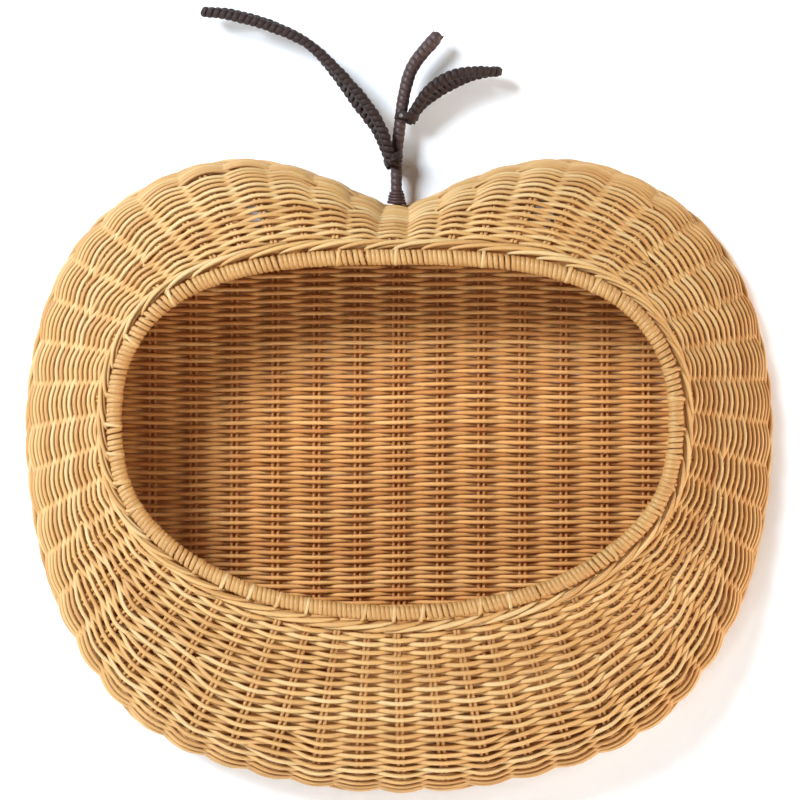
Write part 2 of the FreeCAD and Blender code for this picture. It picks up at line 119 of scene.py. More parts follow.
def on_closed(poles, place):
    """Points of the closed spline at places between 0 and the number of poles."""
    first = np.floor(place).astype(int)
    f = (place - first)[..., None]
    before = 3 * f ** 3 - 6 * f ** 2 + 4
    after = -3 * f ** 3 + 3 * f ** 2 + 3 * f + 1
    weights = ((1 - f) ** 3, before, after, f ** 3)
    return sum(poles[(first - 1 + k) % len(poles)] * w / 6 for k, w in enumerate(weights))


def slope_on_closed(poles, place):
    first = np.floor(place).astype(int)
    f = (place - first)[..., None]
    weights = (-(1 - f) ** 2, 3 * f ** 2 - 4 * f, -3 * f ** 2 + 2 * f + 1, f ** 2)
    return sum(poles[(first - 1 + k) % len(poles)] * w / 2 for k, w in enumerate(weights))


def outward(ring):
    """Normals in the wall's plane that point out of a clockwise ring of points."""
    along = np.roll(ring, -1, 0) - np.roll(ring, 1, 0)
    return unit(np.stack([-along[:, 2], 0 * along[:, 0], along[:, 0]], 1))


def lengths_along(points):
    steps = np.linalg.norm(np.diff(points, axis=0), axis=1)
    return np.concatenate([[0.0], np.cumsum(steps)])


# ---------------------------------------------------------------- the basket's guide rows
HALF = np.array(HALF_OUTLINE, float)
LEFT = HALF[-2:0:-1].copy()
LEFT[:, 0] *= -1
STATIONS = np.vstack([HALF, LEFT])
COUNT = len(STATIONS)
FIT = BACK_SIZE[0] / (2 * HALF[:, 0].max())
OUTLINE = np.stack([STATIONS[:, 0], 0 * STATIONS[:, 0], STATIONS[:, 1]], 1) * FIT
OUT = outward(OUTLINE)
AWAY = np.array([0.0, -1.0, 0.0])


def mouth_oval(angle):
    s = np.sin(angle)
    c = np.cos(angle)
    power = np.where(c > 0, MOUTH_TOP_POWER, MOUTH_BOTTOM_POWER)
    reach = (abs(s) ** power + abs(c) ** power) ** (-1 / power)
    x = MOUTH_X + MOUTH_HALF_WIDTH * s * reach
    z = MOUTH_Z + MOUTH_HALF_HEIGHT * c * reach
    return np.stack([x, -MOUTH_DEPTH + 0 * x, z], -1)


def mouth_stations():
    """The mouth's points that share their length round the oval with the outline's stations."""
    fine = 40
    line = on_closed(closed_poles(OUTLINE), np.arange(COUNT * fine + 1) / fine)
    length = lengths_along(line)
    angle = np.linspace(0, 2 * math.pi, 721)
    oval_length = lengths_along(mouth_oval(angle))
    wanted = length[np.arange(COUNT) * fine] / length[-1] * oval_length[-1]
    return mouth_oval(np.interp(wanted, oval_length, angle))


MOUTH = mouth_stations()
MOUTH_OUT = outward(MOUTH)


def leaning(out, degrees):
    """Directions that rise from the wall: 90 is square to it, less leans in to the mouth."""
    angle = np.radians(degrees)[:, None]
    return -out * np.cos(angle) + AWAY * np.sin(angle)


def wall_guides():
    spread = OUTLINE - MOUTH
    spread[:, 1] = 0
    out = unit(spread)
    leave = leaning(out, STATIONS[:, 2])
    arrive = leaning(out, STATIONS[:, 3])
    back = OUTLINE - OUT * BACK_BORDER_RADIUS + AWAY * (BACK_BORDER_RADIUS + CLEAR)
    reach = WRAP_RADIUS + BORDER_RADIUS + CLEAR
    lean = np.radians(STATIONS[:, 3] / 2)[:, None]
    border = MOUTH + MOUTH_OUT * reach * np.cos(lean) - AWAY * reach * np.sin(lean)
    start = back + leave * (BACK_BORDER_RADIUS + CLEAR)
    end = border - arrive * (BORDER_RADIUS + CLEAR)
    span = np.linalg.norm(start - end, axis=1, keepdims=True)
    first = start + leave * span * STATIONS[:, 4:5]
    second = end - arrive * span * STATIONS[:, 5:6]
    return [start, first, second, end], back, border


GUIDES, BACK_CENTRES, BORDER_CENTRES = wall_guides()
GUIDE_POLES = [closed_poles(row) for row in GUIDES]
MOUTH_POLES = closed_poles(MOUTH)
BORDER_POLES = closed_poles(BORDER_CENTRES)
BACK_POLES = closed_poles(BACK_CENTRES)


def on_wall(u, v, off=0.0):
    """Points of the woven wall, `off` outside its middle, and the wall's outward normals."""
    u, v = np.broadcast_arrays(np.asarray(u, float), np.asarray(v, float))
    v = v[..., None]
    w = 1 - v
    blend = (w ** 3, 3 * v * w * w, 3 * v * v * w, v ** 3)
    slope = (-3 * w * w, 3 * w * w - 6 * v * w, 6 * v * w - 3 * v * v, 3 * v * v)
    rows = [on_closed(poles, u) for poles in GUIDE_POLES]
    turns = [slope_on_closed(poles, u) for poles in GUIDE_POLES]
    point = sum(row * b for row, b in zip(rows, blend))
    along = sum(turn * b for turn, b in zip(turns, blend))
    up = sum(row * s for row, s in zip(rows, slope))
    normal = unit(np.cross(up, along))
    return point + normal * np.asarray(off)[..., None], normal


# ---------------------------------------------------------------- lengths of cane as meshes
class Cane:
    """Collects lengths of cane and turns them into one mesh."""

    def __init__(self, sides):
        self.angle = np.arange(sides) * 2 * math.pi / sides
        self.points = []
        self.faces = []
        self.grain = []
        self.shade = []
        self.count = 0

    def lay(self, path, out, thick, wide=None, closed=False, shade=None):
        """Adds a length of cane: thick is its half size along `out`, wide its half size across."""
        path = np.asarray(path, float)
        out = np.broadcast_to(np.asarray(out, float), path.shape)
        wide = thick if wide is None else wide
        thick = np.broadcast_to(np.asarray(thick, float), len(path))[:, None, None]
        wide = np.broadcast_to(np.asarray(wide, float), len(path))[:, None, None]
        if closed:
            along = np.roll(path, -1, 0) - np.roll(path, 1, 0)
        else:
            along = np.gradient(path, axis=0)
        along = unit(along)
        out = unit(out - along * (out * along).sum(1, keepdims=True))
        across = np.cross(along, out)
        if closed:
            path, out, across = (np.vstack([a, a[:1]]) for a in (path, out, across))
            thick, wide = (np.concatenate([a, a[:1]]) for a in (thick, wide))
        c = np.cos(self.angle)[None, :, None]
        s = np.sin(self.angle)[None, :, None]
        ring = path[:, None] + out[:, None] * thick * c + across[:, None] * wide * s
        length = lengths_along(path)[:, None, None] + 0 * c
        self.points.append(ring.reshape(-1, 3))
        self.grain.append(np.concatenate([length, thick * c, wide * s], 2).reshape(-1, 3))
        tone = RANDOM.random() if shade is None else shade
        self.shade.append(np.full(ring.shape[0] * ring.shape[1], tone))
        self.join(len(path), closed)

    def join(self, rings, closed):
        sides = len(self.angle)
        ring = np.arange(rings - 1)[:, None] * sides + self.count
        side = np.arange(sides)[None, :]
        after = (side + 1) % sides
        quads = np.stack([ring + side, ring + after, ring + sides + after, ring + sides + side], 2)
        self.faces += quads.reshape(-1, 4).tolist()
        if not closed:
            last = self.count + (rings - 1) * sides
            self.faces.append(list(range(self.count + sides - 1, self.count - 1, -1)))
            self.faces.append(list(range(last, last + sides)))
        self.count += rings * sides

    def piece(self, name, material, slot, *nodes):
        """The mesh object, riding on the basket in place of its CAD nodes."""
        mesh = bpy.data.meshes.new(name)
        mesh.from_pydata(np.vstack(self.points).tolist(), [], self.faces)
        mesh.polygons.foreach_set("use_smooth", [True] * len(mesh.polygons))
        grain = mesh.attributes.new("grain", "FLOAT_VECTOR", "POINT")
        grain.data.foreach_set("vector", np.vstack(self.grain).ravel())
        shade = mesh.attributes.new("shade", "FLOAT", "POINT")
        shade.data.foreach_set("value", np.concatenate(self.shade))
        mesh.materials.append(material)
        mesh.update()
        thing = bpy.data.objects.new(name, mesh)
        bpy.context.scene.collection.objects.link(thing)
        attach(thing, "root")
        if nodes:
            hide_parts(*nodes)
        return thing


# ---------------------------------------------------------------- materials
def new_material(name):
    material = bpy.data.materials.new(name)
    material.use_nodes = True
    nodes = material.node_tree.nodes
    nodes.clear()
    output = nodes.new("ShaderNodeOutputMaterial")
    shader = nodes.new("ShaderNodeBsdfPrincipled")
    material.node_tree.links.new(shader.outputs["BSDF"], output.inputs["Surface"])
    return material, shader


class Nodes:
    """Short names for the nodes that the materials share."""

    def __init__(self, material):
        self.tree = material.node_tree

    def make(self, kind, **settings):
        node = self.tree.nodes.new("ShaderNode" + kind)
        for key, value in settings.items():
            setattr(node, key, value)
        return node

    def link(self, a, b):
        self.tree.links.new(a, b)

    def attribute(self, name, output):
        node = self.make("Attribute", attribute_type="GEOMETRY", attribute_name=name)
        return node.outputs[output]

    def math(self, operation, a, b):
        node = self.make("Math", operation=operation)
        for socket, value in zip(node.inputs, (a, b)):
            if isinstance(value, (int, float)):
                socket.default_value = value
            else:
                self.link(value, socket)
        return node.outputs[0]

    def height_of(self, grain):
        """How far a point of a cane is above the cane's own middle."""
        node = self.make("SeparateXYZ")
        self.link(grain, node.inputs[0])
        return node.outputs["Y"]

    def stretched(self, vector, scale):
        node = self.make("Mapping", vector_type="POINT")
        node.inputs["Scale"].default_value = scale
        self.link(vector, node.inputs["Vector"])
        return node.outputs[0]

    def noise(self, vector, scale, seed=None, detail=3.0, rough=0.55):
        node = self.make("TexNoise", noise_dimensions="4D" if seed is not None else "3D")
        node.inputs["Scale"].default_value = scale
        node.inputs["Detail"].default_value = detail
        node.inputs["Roughness"].default_value = rough
        self.link(vector, node.inputs["Vector"])
        if seed is not None:
            self.link(seed, node.inputs["W"])
        return node.outputs["Fac"]

    def ramp(self, value, stops):
        node = self.make("ValToRGB")
        ramp = node.color_ramp
        while len(ramp.elements) < len(stops):
            ramp.elements.new(0.5)
        for element, (place, colour) in zip(ramp.elements, stops):
            element.position = place
            element.color = (*colour, 1)
        self.link(value, node.inputs["Fac"])
        return node.outputs["Color"]

    def mix(self, amount, a, b, blend="MIX"):
        node = self.make("Mix", data_type="RGBA", blend_type=blend)
        for socket, value in ((node.inputs[0], amount), (node.inputs[6], a), (node.inputs[7], b)):
            if isinstance(value, (int, float)):
                socket.default_value = value
            elif isinstance(value, tuple):
                socket.default_value = (*value, 1)
            else:
                self.link(value, socket)
        return node.outputs[2]

    def bump(self, height, strength, distance):
        node = self.make("Bump")
        node.inputs["Strength"].default_value = strength
        node.inputs["Distance"].default_value = distance
        self.link(height, node.inputs["Height"])
        return node.outputs[0]


CANE_PALE = (0.77, 0.545, 0.26)
CANE_MID = (0.72, 0.425, 0.155)
CANE_DEEP = (0.53, 0.245, 0.07)
CANE_BROWN = (0.28, 0.10, 0.03)


def cane_material(name, gloss, pale=0.5, painted_shade_amount=0.35, tint=(1, 1, 1)):
    """Round natural cane: each length has its own tone and fine fibres, with painted shade on the
    side of each cane that faces into the weave.
    """
    material, shader = new_material(name)
    n = Nodes(material)
    grain = n.attribute("grain", "Vector")
    tone = n.attribute("shade", "Fac")
    seed = n.math("MULTIPLY", tone, 37.0)
    slow = n.noise(n.stretched(grain, (9, 60, 60)), 1.0, seed, detail=2.0)
    fibre = n.noise(n.stretched(grain, (35, 2600, 2600)), 1.0, seed, detail=4.0, rough=0.65)
    blotch = n.noise(n.stretched(grain, (70, 420, 420)), 1.0, seed, detail=3.0)
    level = n.math("ADD", n.math("MULTIPLY", tone, 0.46), n.math("MULTIPLY", slow, 0.52))
    level = n.math("ADD", level, 0.5 - pale)
    base = n.ramp(level, ((0.16, CANE_PALE), (0.48, CANE_MID), (0.88, CANE_DEEP)))
    streak = n.ramp(fibre, ((0.36, (0.78, 0.66, 0.5)), (0.6, (1, 1, 1))))
    colour = n.mix(0.55, base, streak, "MULTIPLY")
    # Painted shade: the side of each cane that faces away from its outward direction is darkened, as
    # if shaded by its neighbours.
    side = n.math("ADD", n.math("MULTIPLY", n.height_of(grain), 0.5 / WEAVER_RADIUS), 0.5)
    painted_crevice_shade = n.ramp(side, ((0.30, (0.36, 0.20, 0.11)), (0.78, (1, 1, 1))))
    colour = n.mix(painted_shade_amount, colour, painted_crevice_shade, "MULTIPLY")
    colour = n.mix(1.0, colour, tint, "MULTIPLY")
    marks = n.ramp(blotch, ((0.66, (0, 0, 0)), (0.78, (1, 1, 1))))
    colour = n.mix(n.math("MULTIPLY", marks, 0.42), colour, CANE_BROWN)
    n.link(colour, shader.inputs["Base Color"])
    rough = n.math("ADD", n.math("MULTIPLY", fibre, 0.3), gloss)
    n.link(rough, shader.inputs["Roughness"])
    n.link(n.bump(fibre, 0.35, 0.0003), shader.inputs["Normal"])
    shader.inputs["Specular IOR Level"].default_value = 0.42
    shader.inputs["Subsurface Weight"].default_value = 0.0
    return material


def stake_material(name, tint):
    """Cane of the CAD stakes, which carry no grain of their own: fibres run with their length."""
    material, shader = new_material(name)
    n = Nodes(material)
    place = n.make("TexCoord").outputs["Object"]
    slow = n.noise(place, 14.0)
    fibre = n.noise(n.stretched(place, (900, 900, 120)), 1.0, detail=4.0, rough=0.6)
    base = n.ramp(slow, ((0.3, CANE_MID), (0.7, CANE_DEEP)))
    streak = n.ramp(fibre, ((0.35, (0.7, 0.58, 0.45)), (0.65, (1, 1, 1))))
    colour = n.mix(0.6, base, streak, "MULTIPLY")
    n.link(n.mix(1.0, colour, tint, "MULTIPLY"), shader.inputs["Base Color"])
    rough = n.math("ADD", n.math("MULTIPLY", fibre, 0.25), 0.42)
    n.link(rough, shader.inputs["Roughness"])
    n.link(n.bump(fibre, 0.3, 0.0002), shader.inputs["Normal"])
    return material


def dark_material(name, tint, gloss):
    """Flat cane stained a dark brown-black with a satin finish that has worn a little."""
    material, shader = new_material(name)
    n = Nodes(material)
    grain = n.attribute("grain", "Vector")
    tone = n.attribute("shade", "Fac")
    seed = n.math("MULTIPLY", tone, 23.0)
    fibre = n.noise(n.stretched(grain, (60, 2400, 2400)), 1.0, seed, detail=4.0, rough=0.6)
    worn = n.noise(n.stretched(grain, (160, 400, 400)), 1.0, seed, detail=3.0)
    base = n.ramp(fibre, ((0.3, (0.022, 0.014, 0.013)), (0.7, (0.062, 0.042, 0.038))))
    rubbed = n.ramp(worn, ((0.58, (0, 0, 0)), (0.75, (1, 1, 1))))
    colour = n.mix(n.math("MULTIPLY", rubbed, 0.5), base, (0.115, 0.078, 0.064))
    colour = n.mix(1.0, colour, tint, "MULTIPLY")
    n.link(colour, shader.inputs["Base Color"])
    rough = n.math("ADD", n.math("MULTIPLY", worn, 0.3), gloss)
    n.link(rough, shader.inputs["Roughness"])
    shader.inputs["Specular IOR Level"].default_value = 0.35
    n.link(n.bump(fibre, 0.4, 0.0002), shader.inputs["Normal"])
    return material


def metal_material(name, colour, roughness):
    """Wire or nail metal, with fine drawn lines and uneven tarnish."""
    material, shader = new_material(name)
    n = Nodes(material)
    place = n.make("TexCoord").outputs["Object"]
    drawn = n.noise(n.stretched(place, (1500, 1500, 300)), 1.0, detail=3.0)
    tarnish = n.noise(place, 220.0)
    dull = tuple(c * 0.5 for c in colour)
    n.link(n.ramp(tarnish, ((0.35, dull), (0.65, colour))), shader.inputs["Base Color"])
    n.link(n.math("ADD", n.math("MULTIPLY", drawn, 0.2), roughness), shader.inputs["Roughness"])
    n.link(n.bump(drawn, 0.2, 0.0001), shader.inputs["Normal"])
    shader.inputs["Metallic"].default_value = 0.85
    return material


CANE = cane_material("cane_wall", 0.38, tint=(0.95, 0.96, 0.96))
# Painted shade: the back panel's cane is a darker, redder copy of the wall's cane with heavier
# painted crevice shade, for the shade inside the basket.
CANE_BACK_SHADED = cane_material("cane_back", 0.48, pale=0.40, painted_shade_amount=0.95, tint=(1.10, 0.92, 0.74))
CANE_RIM = cane_material("cane_rim", 0.27, pale=0.56, painted_shade_amount=0.3, tint=(0.88, 0.88, 0.88))
CANE_STAKES = stake_material("cane_stakes", (1, 1, 1))
# Painted shade: the back panel's stakes are a darker, redder copy of the stakes, for the shade inside
# the basket.
BACK_STAKES_SHADED = stake_material("cane_stakes_back", (0.95, 0.70, 0.50))
# Painted light and shade: the stem's copy of the dark cane is lightened, and the leaves' copy is
# darkened and warmed, for how the light falls on each.
DARK_STEM_LIT = dark_material("cane_dark_stem", (1.7, 1.4, 1.3), 0.34)
DARK_LEAF_SHADED = dark_material("cane_dark_leaf", (0.66, 0.46, 0.38), 0.5)
# Painted shade: the eyelet steel is made dark so that where it shows through the back panel's gaps it
# reads as shade.
SHADED_STEEL = metal_material("eyelet_steel", (0.2, 0.19, 0.18), 0.5)
BRASS = metal_material("pin_pale", (0.72, 0.66, 0.58), 0.3)


# ---------------------------------------------------------------- the woven wall
SEGMENTS = 8                     # points on a course between two stake pairs
BASE_COURSES = 30                # courses that go all the way round
PAIR_AFTER = (7, 17, 12, 20, 9, 15, 5, 18, 11, 14, 6, 19, 10, 16)
COURSE_PITCH = 3.42              # millimetres from one course to the next at the sides
PITCH_AT_BOTTOM = 0.10           # how much more that is at the bottom, and less at the dimple
PITCH_AT_CORNERS = 0.40          # how much more it is at the two lower corners
SWING = (WEAVE - WEAVER) / 2     # how far the cane passes outside and inside the stakes
TURN_REACH = 0.7                 # how far a short pair's ends go past its last stakes, in pairs


def pair_places():
    """Guide places of fine steps round the wall; every SEGMENTS-th is a stake pair."""
    fine = 40
    line = on_closed(GUIDE_POLES[0], np.arange(COUNT * fine + 1) / fine)
    length = lengths_along(line)
    steps = WALL_PAIRS * SEGMENTS
    wanted = np.arange(steps + 1) / steps * length[-1] + FIRST_PAIR_AT
    place = np.arange(COUNT * fine + 1) / fine
    lengths = np.concatenate([length[:-1] - length[-1], length])
    places = np.concatenate([place[:-1] - COUNT, place])
    return np.interp(wanted, lengths, places)


PLACES = pair_places()


def guide_place(a):
    """Guide place of a distance round the wall, counted in stake pairs."""
    turns = np.floor(a / WALL_PAIRS)
    within = (a - turns * WALL_PAIRS) * SEGMENTS
    return (np.interp(within, np.arange(len(PLACES)), PLACES) + COUNT) % COUNT


def height_tables():
    """How to turn a share of the wall's height into the guide parameter, at each fine step."""
    v = np.linspace(0, 1, 41)
    lengths = []
    turns = []
    for place in PLACES[:-1]:
        line, _ = on_wall(np.full(41, place), v)
        length = lengths_along(line)
        lengths.append(length[-1])
        turns.append(np.polyfit(length / length[-1], v, 6))
    return np.array(lengths), np.array(turns)


HEIGHTS, TURNS = height_tables()


def guide_height(a, share):
    """Guide parameter of a share of the wall's height, at a distance round the wall."""
    step = np.asarray(a) * SEGMENTS
    first = np.floor(step).astype(int)
    f = (step - first)[..., None]
    steps = len(TURNS)
    turn = TURNS[first % steps] * (1 - f) + TURNS[(first + 1) % steps] * f
    value = np.zeros_like(share)
    for k in range(turn.shape[-1]):
        value = value * share + turn[..., k]
    return np.clip(value, 0, 1)


def crowded(a, v):
    """Distance round the wall in stake pairs, drawn towards the stem in the dimple at the back."""
    away = a - WALL_PAIRS * np.round(a / WALL_PAIRS)
    return a - PINCH * away * np.exp(-abs(away) / PINCH_REACH) * (1 - v)


def wall_point(a, share, off):
    v = guide_height(a, share)
    return on_wall(guide_place(crowded(a, v)), v, off)


def course_counts():
    """Number of courses at each stake pair: the wall is higher at the bottom than at the dimple."""
    around = 2 * math.pi * np.arange(WALL_PAIRS) / WALL_PAIRS
    at_corner = np.abs(np.sin(2 * around)) * (np.cos(around) < 0)
    pitch = (COURSE_PITCH - PITCH_AT_BOTTOM * np.cos(around) + PITCH_AT_CORNERS * at_corner) * MM
    wanted = HEIGHTS[::SEGMENTS] / pitch
    extra = 2 * np.round((wanted - BASE_COURSES) / 2)
    return np.clip(extra, 0, 2 * len(PAIR_AFTER)).astype(int) + BASE_COURSES


COUNTS = course_counts()


def pairs_below(course, k):
    """How many short pairs lie between the back and a full course, at stake pair k."""
    active = (COUNTS[k % WALL_PAIRS] - BASE_COURSES) // 2
    return sum(1 for after in PAIR_AFTER[:active] if after < course)


def smooth_between(values, t):
    """Catmull-Rom curve through four values in a row."""
    a, b, c, d = values
    bend = 2 * a - 5 * b + 4 * c - d
    twist = 3 * b - a - 3 * c + d
    return 0.5 * (2 * b + (c - a) * t + bend * t ** 2 + twist * t ** 3)


def share_line(shares, steps):
    """Smooth shares between the stake pairs; the first and last value only steer the ends."""
    t = np.arange(steps) / steps
    parts = [smooth_between(shares[i:i + 4], t) for i in range(len(shares) - 3)]
    return np.concatenate(parts + [shares[-2:-1]])


def unevenness(a, row):
    """Slight waviness of a course, as a share of the wall's height."""
    return 0.0011 * np.sin(0.9 * a + 2.1 * row) + 0.0011 * np.sin(0.37 * a - 1.3 * row)


def full_course(cane, course):
    ks = np.arange(-1, WALL_PAIRS + 2)
    rank = np.array([course + 2 * pairs_below(course, k) for k in ks])
    counts = COUNTS[ks % WALL_PAIRS]
    shares = share_line((rank + 0.5) / counts, SEGMENTS)[:-1]
    a = np.arange(WALL_PAIRS * SEGMENTS) / SEGMENTS
    side = 1 if course % 2 == 0 else -1
    off = side * SWING * np.cos(math.pi * a)
    path, normal = wall_point(a, shares + unevenness(a, course), off)
    radius = WEAVER_RADIUS * RANDOM.uniform(0.95, 1.02)
    cane.lay(path, normal, radius, radius * WEAVER_WIDE, closed=True)


def runs_of(active):
    """First and last stake pair of each unbroken run round the wall, starting at the dimple."""
    runs = []
    start = None
    for k, on in enumerate(active):
        if on and start is None:
            start = k
        if not on and start is not None:
            runs.append((start, k - 1))
            start = None
    if start is not None:
        runs.append((start, len(active) - 1))
    return runs


def turn_back(k, way, first, last, off):
    """The rounded end of a short pair at stake pair k, from one course over to the other."""
    bend = np.linspace(-math.pi / 2, math.pi / 2, 7)[1:-1]
    a = k + way * TURN_REACH * np.cos(bend)
    share = first + (last - first) * (np.sin(bend) + 1) / 2
    return a, share, -off * np.sin(bend)


def short_run(after, start, end):
    """Distance round, share of the height and offset of a short pair, as one closed line."""
    ks = np.arange(start - 1, end + 2)
    past_end = (ks < start) | (ks > end)
    low = np.array([after + 1 + 2 * pairs_below(after, k) for k in ks])
    counts = COUNTS[ks % WALL_PAIRS]
    level = (low + np.where(past_end, 0.0, 0.5)) / counts
    rise = np.where(past_end, 0.0, 1.0) / counts
    lower = share_line(level, SEGMENTS)
    upper = share_line(level + rise, SEGMENTS)
    a = start + np.arange(len(lower)) / SEGMENTS
    side = 1 if after % 2 == 1 else -1
    off = side * SWING * np.cos(math.pi * a)
    right = turn_back(end, 1, lower[-1], upper[-1], off[-1])
    left = turn_back(start, -1, upper[0], lower[0], -off[0])
    parts = ((a, lower, off), right, (a[::-1], upper[::-1], -off[::-1]), left)
    return [np.concatenate(part) for part in zip(*parts)]


def short_pair(cane, index):
    """A pair of courses that turns back at both ends, so the wall is higher between them."""
    after = PAIR_AFTER[index]
    active = (COUNTS - BASE_COURSES) // 2 > index
    for start, end in runs_of(active):
        if end - start < 2:
            continue
        a, share, off = short_run(after, start, end)
        path, normal = wall_point(a, share + unevenness(a, after), off)
        tone = RANDOM.uniform(0.5, 0.85)
        wide = WEAVER_RADIUS * WEAVER_WIDE
        cane.lay(path, normal, WEAVER_RADIUS, wide, closed=True, shade=tone)


def wall_weave():
    halves = {"wall_courses_near_back": Cane(8), "wall_courses_near_mouth": Cane(8)}
    names = list(halves)
    for course in range(BASE_COURSES):
        full_course(halves[names[course // (BASE_COURSES // 2)]], course)
    for name, cane in halves.items():
        cane.piece(name, CANE, "natural_cane", "wall_weave")
    short = Cane(8)
    for index in range(len(PAIR_AFTER)):
        short_pair(short, index)
    short.piece("wall_short_courses", CANE, "natural_cane", "wall_weave")


# ---------------------------------------------------------------- the back panel
ROW_END_INSET = 1.3              # how far inside the outline the rows end, in border radii
TOP_ROW_INSET = 1.6              # the same for the lowest and the highest row


def panel_crossings(z):
    """Where a level row meets the middle of the back border, from left to right."""
    inset = closed_poles(OUTLINE - OUT * ROW_END_INSET * BACK_BORDER_RADIUS)
    fine = 40
    line = on_closed(inset, np.arange(COUNT * fine + 1) / fine)
    below = line[:, 2] < z
    at = np.nonzero(below[1:] != below[:-1])[0]
    f = (z - line[at, 2]) / (line[at + 1, 2] - line[at, 2])
    return np.sort(line[at, 0] + f * (line[at + 1, 0] - line[at, 0]))


def without_eyelets(left, right, z):
    """The parts of a row that an eyelet doesn't take up."""
    parts = [(left, right)]
    for node in EYELETS:
        low, high, size = spans(node)
        middle = (low + high) / 2
        radius = size[0] / 2 - EYELET_GRIP
        if abs(z - middle[2]) >= radius:
            continue
        half = math.sqrt(radius ** 2 - (z - middle[2]) ** 2)
        cut = []
        for a, b in parts:
            if b <= middle[0] - half or a >= middle[0] + half:
                cut.append((a, b))
            else:
                cut += [(a, middle[0] - half), (middle[0] + half, b)]
        parts = cut
    return [(a, b) for a, b in parts if b - a > SHORTEST_ROW]


def row_sag(x, z):
    """Slight rise and fall that neighbouring rows share."""
    return (0.7 * np.sin(x * 17 + z * 6) + 0.4 * np.sin(x * 41 - z * 15)) * MM


def back_row(cane, row, z):
    crossings = panel_crossings(z)
    radius = WEAVER_RADIUS * RANDOM.uniform(0.98, 1.05)
    lift = RANDOM.uniform(-0.12, 0.12) * MM
    tone = RANDOM.random()
    for left, right in zip(crossings[::2], crossings[1::2]):
        for a, b in without_eyelets(left, right, z):
            count = max(4, int((b - a) / COLUMN_PITCH * SEGMENTS))
            x = np.linspace(a, b, count)
            side = 1 if row % 2 == 0 else -1
            wave = np.cos(math.pi * x / COLUMN_PITCH)
            y = -WEAVE / 2 - side * SWING * wave
            path = np.stack([x, y, z + lift + row_sag(x, z)], 1)
            cane.lay(path, AWAY, radius, radius * BACK_WIDE, shade=tone)


def back_panel():
    upper = Cane(8)
    lower = Cane(8)
    low = OUTLINE[:, 2].min() + BACK_BORDER_RADIUS * TOP_ROW_INSET
    high = OUTLINE[:, 2].max() - BACK_BORDER_RADIUS * TOP_ROW_INSET
    rows = int((high - low) / ROW_PITCH)
    for row in range(rows + 1):
        z = low + (high - low) * row / rows
        back_row(lower if row < rows / 2 else upper, row, z)
    lower.piece("back_rows_lower", CANE_BACK_SHADED, "natural_cane", "back_panel_weave")
    upper.piece("back_rows_upper", CANE_BACK_SHADED, "natural_cane", "back_panel_weave")


# ---------------------------------------------------------------- borders and rim
BACK_STRAND_RADIUS = 2.1 * MM
BACK_STRAND_TURN = 2.6 * COLUMN_PITCH
RIM_TURNS = 5                    # fewest turns of cane on the hoop from one stake pair to the next
RIM_GAP = 0.7 * MM
RIM_WRAP_THICK = 1.3 * MM
RIM_WRAP_WIDE = 2.1 * MM
TIE_RADIUS = 1.3 * MM
TIE_START = 0.02                 # how far past its stake pair a tie starts, in pairs
TIES_LEFT = 0.55                 # share of the stake pairs where a tie is on show
# Middle line of a tie over the hoop: outwards, forwards and along the rim, in millimetres.
TIE_SECTION = ((-5.7, 0, -0.4), (-4.2, 3.9, -0.3), (0, 5.4, 0.4), (4.3, 4.4, 1.4), (6.6, 1.6, 2.2))
# Strands of the plaited border: where they begin and how far they reach in stake pairs, how far
# towards the mouth they start and end, how deep they start, how much they rise, and their radius.
BORDER_STRANDS = (
    (0.30, 2.30, 2.6, -3.6, -3.2, 3.4, 1.7),
    (0.00, 2.50, 3.9, -4.3, -2.4, 5.3, 1.85),
)


def ring_line(poles, count):
    """Evenly spaced points round a closed spline, and its length."""
    fine = 60
    place = np.arange(COUNT * fine + 1) / fine
    length = lengths_along(on_closed(poles, place))
    place = np.interp(np.arange(count) / count * length[-1], length, place)
    return on_closed(poles, place), length[-1]


def back_border():
    """Three strands laid round each other where the wall meets the back panel."""
    count = 720
    centre, length = ring_line(BACK_POLES, count)
    along = unit(np.roll(centre, -1, 0) - np.roll(centre, 1, 0))
    out = unit(np.cross(AWAY, along))
    turns = round(length / BACK_STRAND_TURN)
    cane = Cane(8)
    reach = BACK_BORDER_RADIUS - BACK_STRAND_RADIUS
    for strand in range(3):
        angle = 2 * math.pi * (turns * np.arange(count) / count + strand / 3)
        spoke = out * np.cos(angle)[:, None] + AWAY * np.sin(angle)[:, None]
        cane.lay(centre + spoke * reach, spoke, BACK_STRAND_RADIUS, closed=True)
    cane.piece("back_border_strands", CANE, "natural_cane", "back_border")


def mouth_frame(length):
    """Centre of the hoop at lengths round it, its direction out of the oval, and its whole length."""
    fine = 60
    place = np.arange(COUNT * fine + 1) / fine
    lengths = lengths_along(on_closed(MOUTH_POLES, place))
    at = np.interp(length % lengths[-1], lengths, place)
    along = unit(slope_on_closed(MOUTH_POLES, at))
    return on_closed(MOUTH_POLES, at), unit(np.cross(AWAY, along)), lengths[-1]


